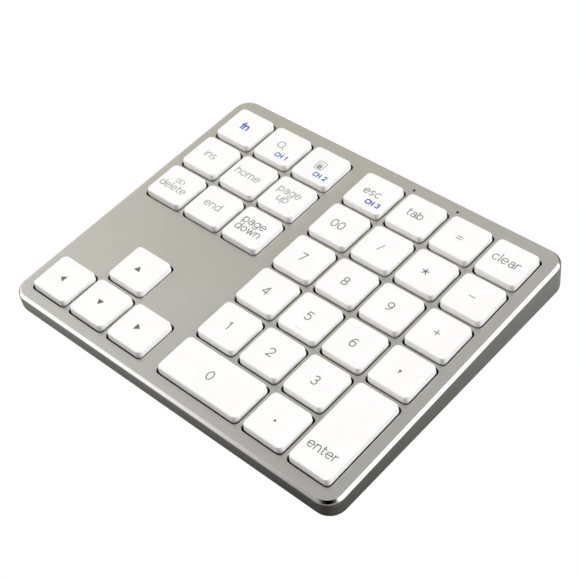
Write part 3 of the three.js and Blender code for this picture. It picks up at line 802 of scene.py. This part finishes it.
def add_cap(key):
    """A hollow cap with rounded edges, its plunger and its legend."""
    body = Body()
    middle = (key["x"], key["y"])
    steps = 8

    def outline(size, inset, corner):
        wide = size[0] + key["extra"][0] - 2 * inset
        deep = size[1] + key["extra"][1] - 2 * inset
        return rounded_ring(wide, deep, corner, steps, middle)

    foot = 0.12
    lip, recess = 0.3, 0.35
    shoulder = tuple(top + (base - top) * 0.02 for top, base in zip(CAP_TOP, CAP_BASE))
    skirt = [(recess + foot, -CAP_SKIRT), (recess, foot - CAP_SKIRT), (recess, -lip)]
    skirt += [(0.04, -lip), (0, 0.06 - lip)]
    edge = [(CAP_EDGE * across, CAP_RISE - CAP_EDGE * (1 - up)) for across, up in quarter(5)]
    rings = body.rings(lambda inset: outline(CAP_BASE, inset, CAP_CORNER - inset), skirt)
    rings += body.rings(lambda inset: outline(shoulder, inset, CAP_CORNER - inset), edge)
    body.bands(rings)
    body.lid(rings[-1])
    inside = [
        body.ring(outline(CAP_TOP, CAP_WALL + 0.4, CAP_CORNER - CAP_WALL), CAP_RISE - CAP_WALL),
        body.ring(outline(CAP_TOP, CAP_WALL, CAP_CORNER - CAP_WALL / 2), CAP_RISE - CAP_WALL - 0.4),
        body.ring(outline(CAP_BASE, CAP_WALL, CAP_CORNER - CAP_WALL / 2), -CAP_SKIRT),
    ]
    body.bands(inside)
    tip = PLUNGER_BOTTOM
    profile = [(PLUNGER_RADIUS, CAP_RISE - CAP_WALL), (PLUNGER_RADIUS, tip + 0.2), (PLUNGER_RADIUS - 0.2, tip)]
    plunger = body.rounds(middle, profile, 24)
    body.sheet([inside[0], plunger[0]], down=True)
    body.sheet([rings[0], inside[-1]], down=True)
    body.bands(plunger[::-1])
    body.lid(plunger[-1], down=True)
    if key["name"] == "5":
        add_homing_bar(body, middle)
    draw_legend(key["name"], Legend(body, middle))
    node = f"keycap_{key['name']}"
    looks = ["cap", "ink_grey", "ink_blue", "ink_pale", "ink_dark"]
    finish_piece(f"cap_{key['name']}", body, looks, node, [node], sharp=40)


def add_homing_bar(body, middle):
    """The low bar near the front edge of the middle key."""
    place = (middle[0] + LEGEND_X + 0.6, middle[1] - CAP_TOP[1] / 2 + 2.2)
    ring_at = grown(2.9, 0.62, 0.3, 5, place)
    outlines = [(ring_at(0), CAP_RISE - 0.1)]
    outlines += [(ring_at(-0.2 * across), CAP_RISE + 0.05 + 0.17 * up) for across, up in quarter(4)]
    body.loft(outlines)


# ---- top case


def under_curve(inset):
    """How far the curve at the foot of the walls stands above the flat underside, at an inset."""
    across = UNDER_RADIUS - inset
    return UNDER_RADIUS - sqrt(UNDER_RADIUS**2 - across**2)


def lifted(lift):
    """A height above the underside, as a function of y."""
    return lambda y: underside(y) + lift


def add_boss(body, place, look):
    """A hollow post for a screw, hanging from the deck. Gives back its root, for the deck's underside."""
    tip = underside(place[1]) + PAD_HEIGHT + GAP
    outside = [(BOSS_RADIUS, -DECK_SKIN), (BOSS_RADIUS, tip + 0.1), (BOSS_RADIUS - 0.1, tip)]
    rings = body.rounds(place, [*outside, (PILOT_RADIUS, tip), (PILOT_RADIUS, PILOT_TOP)])
    body.bands(rings[::-1], look)
    body.lid(rings[-1], look, down=True)
    return rings[0]


def add_rib(body, front, back, look):
    """A stiffening rib under the deck, between the blocks of keys."""
    ring = rounded_ring(RIB_WIDTH, back - front, 0.4, 3, (BETWEEN_BLOCKS, (front + back) / 2))
    root, tip = body.ring(ring, -DECK_SKIN), body.ring(ring, RIB_BOTTOM)
    body.band(tip, root, look)
    body.lid(tip, look, down=True)
    return root


def add_opening(body, ring_at, break_edge, look):
    """An opening through the deck with a broken edge. ring_at gives its outline, grown by a margin."""
    profile = [(break_edge, 0), (break_edge * 0.3, -break_edge * 0.3), (0, -break_edge), (0, -DECK_SKIN)]
    rings = body.rings(ring_at, profile)
    body.bands(rings, look)
    return rings[0], rings[-1]


def key_opening(key):
    wide, deep = (size + extra for size, extra in zip(APERTURE, key["extra"]))
    return grown(wide, deep, APERTURE_CORNER, 8, (key["x"], key["y"]))


def light_opening(place):
    return lambda grow: circle(place, LIGHT_HOLE_RADIUS + grow, 24)


def cut_back_wall(body, outline, look):
    """Adds a cutter through the back wall: a ring of (x, z), flared at the wall's outer face."""
    stations = [(HALF_DEPTH - WALL - 1, 0.0), (HALF_DEPTH - 0.25, 0.0), (HALF_DEPTH + 0.5, 0.75)]
    rings = [[body.mesh.verts.new((x, depth, z)) for x, z in outline(grow)] for depth, grow in stations]
    body.bands(rings, look)
    body.lid(rings[0], look)
    body.lid(rings[-1], look)


def port_cutter(look):
    """The charging port and the power switch's slot, as one cutter."""
    wide, high = (SOCKET[side] + 2 * PORT_CLEARANCE for side in ("width", "height"))
    port = grown(wide, high, SOCKET["corner"] + PORT_CLEARANCE, 8, (0, PORT_MIDDLE))
    wide, high = (KNOB[side] + 2 * KNOB_CLEARANCE for side in ("width", "height"))
    slot = grown(wide + KNOB_TRAVEL, high, 0.5, 5, (KNOB["x"] + KNOB_TRAVEL / 2, PORT_MIDDLE))
    body = Body()
    for outline in (port, slot):
        cut_back_wall(body, outline, look)
    return body


LOWER_ROLL = 0.48
UPPER_ROLL = 0.16
ROLL_STEPS = 4


def chamfer_profile():
    """The chamfer's cut face as (inset, drop), with a soft roll into the wall and a tighter one above."""
    turn = pi / 4
    turns = [turn * step / ROLL_STEPS for step in range(1, ROLL_STEPS + 1)]

    def roll(length):
        reach = length / tan(turn / 2)
        return [(reach * (1 - cos(a)), EDGE_CHAMFER + length - reach * sin(a)) for a in turns]

    lower = roll(LOWER_ROLL)
    upper = [(drop, inset) for inset, drop in reversed(roll(UPPER_ROLL))]
    return [*lower, *upper, (EDGE_CHAMFER + UPPER_ROLL, 0)]


def add_case():
    """The case: a deck pierced by the keys' openings, a bright chamfer, and walls that curve under."""
    body = Body()
    deck, chamfer, wall = 0, 1, 2
    curve_steps = 7
    insets = [(WALL - 0.08) * (1 - sin(s / curve_steps * pi / 2)) for s in range(curve_steps + 1)]
    profile = [(WALL, -DECK_SKIN), (WALL, lifted(under_curve(WALL) + 0.08))]
    profile += [(inset, lifted(under_curve(inset))) for inset in insets]
    profile.append((0, -EDGE_CHAMFER - LOWER_ROLL))
    sides = body.rings(case_ring, profile)
    body.bands(sides, wall)
    edge = [sides[-1], *body.rings(case_ring, [(inset, -drop) for inset, drop in chamfer_profile()])]
    # The wall's look goes on over the lower roll, but for its last step.
    body.bands(edge[:ROLL_STEPS], wall)
    body.bands(edge[ROLL_STEPS - 1 :], chamfer)

    tops, bottoms = [edge[-1]], [sides[0]]
    openings = [(key_opening(key), 0.12) for key in KEYS]
    openings += [(light_opening(place), 0.05) for place in LIGHT_PLACES]
    for ring_at, break_edge in openings:
        top, bottom = add_opening(body, ring_at, break_edge, deck)
        tops.append(top)
        bottoms.append(bottom)
    bottoms += [add_boss(body, place, wall) for place in SCREW_PLACES]
    clear = 0.25
    middle_boss = SCREW_PLACES[4][1]
    bottoms.append(add_rib(body, WALL + clear - HALF_DEPTH, middle_boss - BOSS_RADIUS - clear, wall))
    bottoms.append(add_rib(body, middle_boss + BOSS_RADIUS + clear, SHEET_BACK, wall))
    body.sheet(tops, deck)
    body.sheet(bottoms, wall, down=True)
    looks = ["deck", "chamfer", "wall"]
    slot, cutter = "anodised_metal", port_cutter(wall)
    finish_piece("case_shell", body, looks, "case", ["top_case"], sharp=30, cutter=cutter)


# ---- bottom cover, screws and feet

COVER_INSET = WALL + GAP
POST_RADIUS = 1.5
POST_TOP = -6.3
PAD_RADIUS = 3.2
LABEL = {"width": 46.0, "depth": 17.0, "corner": 1.5, "sunk": 0.15, "middle": (2.7, -12.0)}


def add_screw_seat(body, place):
    """The pocket, hole and pad for one screw. Gives back its outlines on the cover's two faces."""
    seat = underside(place[1]) + POCKET_DEPTH
    pad = underside(place[1]) + PAD_HEIGHT
    profile = [
        (POCKET_RADIUS + 0.15, underside),
        (POCKET_RADIUS, lifted(0.15)),
        (POCKET_RADIUS, seat),
        (PILOT_RADIUS, seat),
        (PILOT_RADIUS, pad),
        (PAD_RADIUS - 0.15, pad),
        (PAD_RADIUS, pad - 0.15),
        (PAD_RADIUS, lifted(COVER_THICK)),
    ]
    rings = body.rounds(place, profile)
    body.bands(rings)
    return rings[0], rings[-1]


def add_post(body, place):
    root = (POST_RADIUS, lifted(COVER_THICK))
    profile = [root, (POST_RADIUS, POST_TOP - 0.2), (POST_RADIUS - 0.2, POST_TOP)]
    rings = body.rounds(place, profile, 24)
    body.bands(rings)
    body.lid(rings[-1])
    return rings[0]


def add_recess(body, ring_at, depth, break_edge=0.1):
    """A shallow flat recess in the underside."""
    shoulder = lifted(min(break_edge, depth * 0.6))
    rings = body.rings(ring_at, [(break_edge, underside), (0, shoulder), (0, lifted(depth))])
    body.bands(rings)
    body.lid(rings[-1], down=True)
    return rings[0]


def add_cover():
    """The cover: a flat pan that carries on the walls' curve, with pockets, pads, posts and recesses."""
    body = Body()
    insets = [UNDER_RADIUS, 2.7, 2.4, 2.15, COVER_INSET]
    profile = [(inset, lifted(under_curve(inset))) for inset in insets]
    profile.append((COVER_INSET, lifted(COVER_THICK - 0.15)))
    profile.append((COVER_INSET + 0.15, lifted(COVER_THICK)))
    outer = body.rings(case_ring, profile)
    body.bands(outer)
    below, above = [outer[0]], [outer[-1]]
    for place in SCREW_PLACES:
        low, high = add_screw_seat(body, place)
        below.append(low)
        above.append(high)
    above += [add_post(body, place) for place in POST_PLACES]
    for place in FOOT_PLACES.values():
        ring_at = lambda grow, place=place: circle(place, FOOT_RADIUS + GAP + grow, 64)
        below.append(add_recess(body, ring_at, FOOT_SUNK + GAP))
    label_ring = grown(LABEL["width"], LABEL["depth"], LABEL["corner"], 6, LABEL["middle"])
    below.append(add_recess(body, label_ring, LABEL["sunk"], 0.05))
    body.sheet(below, down=True)
    body.sheet(above)
    finish_piece("cover_shell", body, ["cover"], "case", ["bottom_cover"])


def ground_frame(place, height):
    """A frame in the deck frame that stands square to the ground, in millimetres."""
    return DECK @ Matrix.Translation((*place, height)) @ Matrix.Rotation(-TILT, 4, "X")


def add_feet():
    """Round rubber feet: a soft edge and two shallow grooves in the sole."""
    sides = 72
    edge = 0.25
    for corner, place in FOOT_PLACES.items():
        body = Body()
        rings = []
        for radius in (1.2, 2.6):
            rings += [(radius - 0.22, 0), (radius - 0.12, 0.16), (radius + 0.12, 0.16), (radius + 0.22, 0)]
        profile = [(radius, lift - FOOT_BELOW) for radius, lift in rings]
        for across, up in quarter(5):
            profile.append((FOOT_RADIUS - edge + edge * up, edge * across - FOOT_BELOW))
        profile += [(FOOT_RADIUS, FOOT_SUNK - 0.08), (FOOT_RADIUS - 0.08, FOOT_SUNK)]
        rings = body.rounds((0, 0), profile, sides)
        body.bands(rings)
        body.lid(rings[0], down=True)
        body.lid(rings[-1])
        matrix = ground_frame(place, underside(place[1]))
        node = f"rubber_foot_{corner}"
        finish_piece(f"foot_{corner}", body, ["foot"], "case", [node], matrix)


def add_screws():
    """Pan-head screws with a six-lobed recess and a threaded shaft, driven in from below."""
    sides = 48
    turns = [2 * pi * step / sides for step in range(sides)]
    reaches = [0.72 + 0.13 * cos(6 * a) for a in turns]
    lobes = [(r * cos(a), r * sin(a)) for a, r in zip(turns, reaches)]
    thread_start = SCREW_HEAD_HEIGHT + 0.5
    thread_turns = 7
    pitch = (SCREW_SHAFT_LENGTH - 1.0) / thread_turns
    for number, place in enumerate(SCREW_PLACES, 1):
        body = Body()
        rings = [body.ring([(x * 0.8, y * 0.8) for x, y in lobes], 0.55), body.ring(lobes, 0.05)]
        profile = [(1.0, 0.0)]
        for across, up in quarter(5):
            profile.append((SCREW_HEAD_RADIUS - 0.45 + 0.45 * up, 0.45 * across))
        profile += [(SCREW_HEAD_RADIUS, SCREW_HEAD_HEIGHT), (SCREW_SHAFT_RADIUS - 0.15, SCREW_HEAD_HEIGHT)]
        for turn in range(thread_turns):
            height = thread_start + turn * pitch
            profile += [(SCREW_SHAFT_RADIUS - 0.2, height), (SCREW_SHAFT_RADIUS, height + pitch / 2)]
        end = SCREW_HEAD_HEIGHT + SCREW_SHAFT_LENGTH
        profile += [(SCREW_SHAFT_RADIUS - 0.2, end - 0.5), (0.2, end - 0.02)]
        rings += body.rounds((0, 0), profile, sides)
        body.bands(rings)
        body.lid(rings[0], down=True)
        body.lid(rings[-1])
        height = underside(place[1]) + SCREW_HEAD_SINK
        matrix = DECK @ Matrix.Translation((*place, height))
        node = f"case_screw_{number}"
        finish_piece(f"screw_{number}", body, ["screw"], "case", [node], matrix, sharp=40)


# ---- charging socket and power switch

# In this frame +Z points out of the back wall, and the middle of the ports is at x = y = 0.
PORT_FRAME = DECK @ Matrix.Translation((0, 0, PORT_MIDDLE)) @ Matrix.Rotation(-pi / 2, 4, "X")


def add_block(body, width, height, middle, start, stop, corner=0.1, edge=0.06, look=0):
    """A block with rounded corners and broken edges, along Z."""
    narrow = rounded_ring(width - 2 * edge, height - 2 * edge, corner, 3, middle)
    full = rounded_ring(width, height, corner + edge, 3, middle)
    body.loft([(narrow, start), (full, start + edge), (full, stop - edge), (narrow, stop)], look)


def add_socket():
    """A folded metal shell with a plastic tongue that carries the contacts."""
    body = Body()
    shell, tongue, contact = 0, 1, 2
    front, back, skin = SOCKET["front"], SOCKET["back"], SOCKET["skin"]
    outline = grown(SOCKET["width"], SOCKET["height"], SOCKET["corner"], 10)
    stations = [(-0.1, front), (0, front + 0.1), (0, back - 0.1), (-0.1, back), (0.1 - skin, back)]
    stations += [(-skin, back - 0.15), (-skin, front + 1.2)]
    rings = body.rings(outline, stations)
    body.bands(rings, shell)
    body.lid(rings[0], shell)
    body.lid(rings[-1], shell)
    add_block(body, 6.4, 0.65, (0, 0), front + 1.0, back - 0.7, 0.2, 0.08, tongue)
    for side in (-1, 1):
        for number in range(12):
            x = (number - 5.5) * 0.47
            add_block(body, 0.24, 0.06, (x, side * 0.33), back - 3.6, back - 1.0, 0.01, 0.015, contact)
    looks = ["shell", "black", "gold"]
    finish_piece("socket_shell", body, looks, "case", ["charging_socket"], PORT_FRAME)


def add_knob():
    """The power switch's slider: a ridged finger grip through the slot and a wider base inside."""
    body = Body()
    end = KNOB["back"]
    add_block(body, KNOB["width"], KNOB["height"], (KNOB["x"], 0), KNOB["front"], end - 0.35, 0.2, 0.08)
    ridges = 5
    for number in range(ridges):
        x = KNOB["x"] + (number - (ridges - 1) / 2) * 0.5
        add_block(body, 0.26, KNOB["height"] - 0.1, (x, 0), end - 0.6, end, 0.03, 0.06)
    node = "power_switch_knob"
    finish_piece("switch_knob", body, ["black"], node, [node], PORT_FRAME)


# ---- inner pieces that stay as the CAD has them


def dress(node, look):
    """Gives a CAD node its material and, where it is hard-edged, a small bevel."""
    piece = frame["nodes"][node]
    piece.data.materials.clear()
    piece.data.materials.append(LOOKS[look])
    edge = INNER_EDGES.get(node)
    if edge:
        bevel = piece.modifiers.new("soft_edges", "BEVEL")
        bevel.width = edge * MM
        bevel.segments = 2
        bevel.limit_method = "ANGLE"
        bevel.angle_limit = radians(40)


INNER_EDGES = {"main_board": 0.08, "battery_pack": 0.4, "power_switch_body": 0.1}
INNER_LOOKS = {
    "rubber_dome_sheet": "dome",
    "membrane_circuit": "film",
    "key_support_plate": "steel",
    "stabiliser_wire_0": "steel",
    "stabiliser_wire_enter": "steel",
    "main_board": "board",
    "ribbon_tail": "tail",
    "battery_pack": "pouch",
    "power_switch_body": "shell",
    "light_pipe_left": "clear",
    "light_pipe_right": "clear",
}

# ---- floor, light and camera


# The floor's grey, as the keypad sees it, carries painted shade: a painted shadow starts from black at this
# spot by the near corner, and painted shade also darkens the grey from the front (at FLOOR_FRONT) towards the
# back.
FLOOR_PAINTED_SHADOW_SPOT = (0.072, -0.0665, 0)
FLOOR_FADE = 0.6
FLOOR_REACH = 0.394
FLOOR_FRONT = (0.065, 0.09)


def add_floor():
    """A plain floor: white to the eye, and grey in what it gives to the keypad, with painted shade in that
    grey.
    """
    size = 3.0
    data = bpy.data.meshes.new("floor")
    corners = [(-size, -size, 0), (size, -size, 0), (size, size, 0), (-size, size, 0)]
    data.from_pydata(corners, [], [(0, 1, 2, 3)])
    shade = Shade("floor", (0.2, 0.2, 0.195), 0.95, Specular_IOR_Level=0.0)
    # Painted shade in the grey: a painted shadow by the near corner, and darker towards the back.
    away = shade.compare("DISTANCE", shade.place, FLOOR_PAINTED_SHADOW_SPOT)
    eased = shade.combine("POWER", away, FLOOR_FADE)
    parts = shade.node("SeparateXYZ")
    shade.link(shade.place, parts.inputs["Vector"])
    shade_from_spot = shade.spread(eased, 0.0, 1.0, 0.0, FLOOR_REACH)
    shade_to_back = shade.spread(parts.outputs["Y"], 1.0, 0.3, *FLOOR_FRONT)
    level = shade.combine("MULTIPLY", shade_from_spot, shade_to_back)
    shade.feed(shade.tint(level, (0, 0, 0), (0.5, 0.5, 0.485), 0, 1), "Base Color")
    shade.white_to_camera(shade.shader.outputs["BSDF"], "Emission", "Material Output")
    data.materials.append(shade.material)
    floor = put_in_scene("floor", data)


# Each panel of the sky: its direction, the degrees round it at full strength, the degrees where it is gone, and
# its strength. A negative one takes light away.
PANELS = [
    ((-0.85, 0.35, 0.40), 5, 50, 0.63),
    ((0.80, 0.45, 0.40), 22, 46, 1.2),
    ((-0.85, -0.50, 0.20), 14, 34, 1.1),
    ((-0.50, -0.35, 0.80), 6, 22, 0.3),
    ((-0.76, 0.10, 0.64), 4, 24, 0.27),
    ((-0.62, 0.62, 0.48), 4, 28, -0.32),
    ((-0.15, 0.70, 0.70), 4, 28, 0.3),
    ((-0.34, 0.28, 0.90), 2, 20, -0.16),
    ((0.68, -0.72, 0.0), 6, 32, 0.3),
    ((0.15, -0.05, 1.0), 6, 28, 0.52),
]
DARK_WAY = (0.35, -0.56, 0.72)  # round the camera's direction, which blackens the chamfer of the near corner
WARM_WAY = (-0.66, 0.68, 0.38)
COOL = (0.968, 1.0, 1.07)
WARM = (1.035, 1.0, 0.85)


def light_sky(level):
    """A studio: an even sky, soft panels, and darkness round one direction. It is white to the eye."""
    world = bpy.data.worlds.new("studio")
    world.use_nodes = True
    bpy.context.scene.world = world
    nodes = Nodes(world.node_tree)
    sky = nodes.tree.nodes["Background"]
    place = nodes.node("TexCoord").outputs["Generated"]

    def glow(direction, full, gone, low, high):
        """Goes from high within full degrees of the direction to low beyond gone degrees."""
        near = nodes.compare("DOT_PRODUCT", place, Vector(direction).normalized())
        limits = [cos(radians(turn)) for turn in (gone, full)]
        return nodes.spread(near, low, high, *limits, interpolation_type="SMOOTHSTEP")

    total = level
    for direction, full, gone, strength in PANELS:
        total = nodes.combine("ADD", total, glow(direction, full, gone, 0.0, strength))
    total = nodes.combine("MULTIPLY", total, glow(DARK_WAY, 20, 48, 1.0, 0.0))
    nodes.link(total, sky.inputs["Strength"])
    nodes.link(nodes.tint(glow(WARM_WAY, 10, 34, 0.0, 1.0), COOL, WARM, 0, 1), sky.inputs["Color"])
    nodes.white_to_camera(sky.outputs["Background"], "Background", "World Output")


def add_sun(name, toward, strength, spread, color=(1, 1, 1)):
    """A soft lamp a long way off. It shows in no reflection."""
    data = bpy.data.lights.new(name, "SUN")
    data.energy = strength
    data.angle = radians(spread)
    data.color = color
    lamp = put_in_scene(name, data)
    lamp.rotation_euler = Vector(toward).to_track_quat("Z", "Y").to_euler()
    lamp.visible_glossy = False


def add_camera():
    """Looks at the keypad from the front right, well above it."""
    data = bpy.data.cameras.new("camera")
    data.sensor_width = 36.0
    data.lens = 80.16
    data.shift_x = 0.0298
    data.shift_y = 0.0058
    data.clip_start = 0.01
    data.clip_end = 20
    camera = put_in_scene("camera", data)
    camera.location = (0.2269, -0.20693, 0.32763)
    camera.rotation_euler = Euler([radians(turn) for turn in (43.089, 5.875, 42.241)])
    bpy.context.scene.camera = camera


# ---- the whole keypad

add_case()
for each in KEYS:
    add_cap(each)
add_cover()
add_feet()
add_screws()
add_socket()
add_knob()
for inner_node, inner_look in INNER_LOOKS.items():
    dress(inner_node, inner_look)

add_floor()
light_sky(0.355)
add_sun("right_lamp", (0.68, 0.52, 0.50), 2.07, 20)
add_sun("left_lamp", (-0.68, -0.56, 0.52), 1.46, 16, (1.0, 0.93, 0.9))
add_camera()
bpy.context.scene.view_settings.view_transform = "Standard"
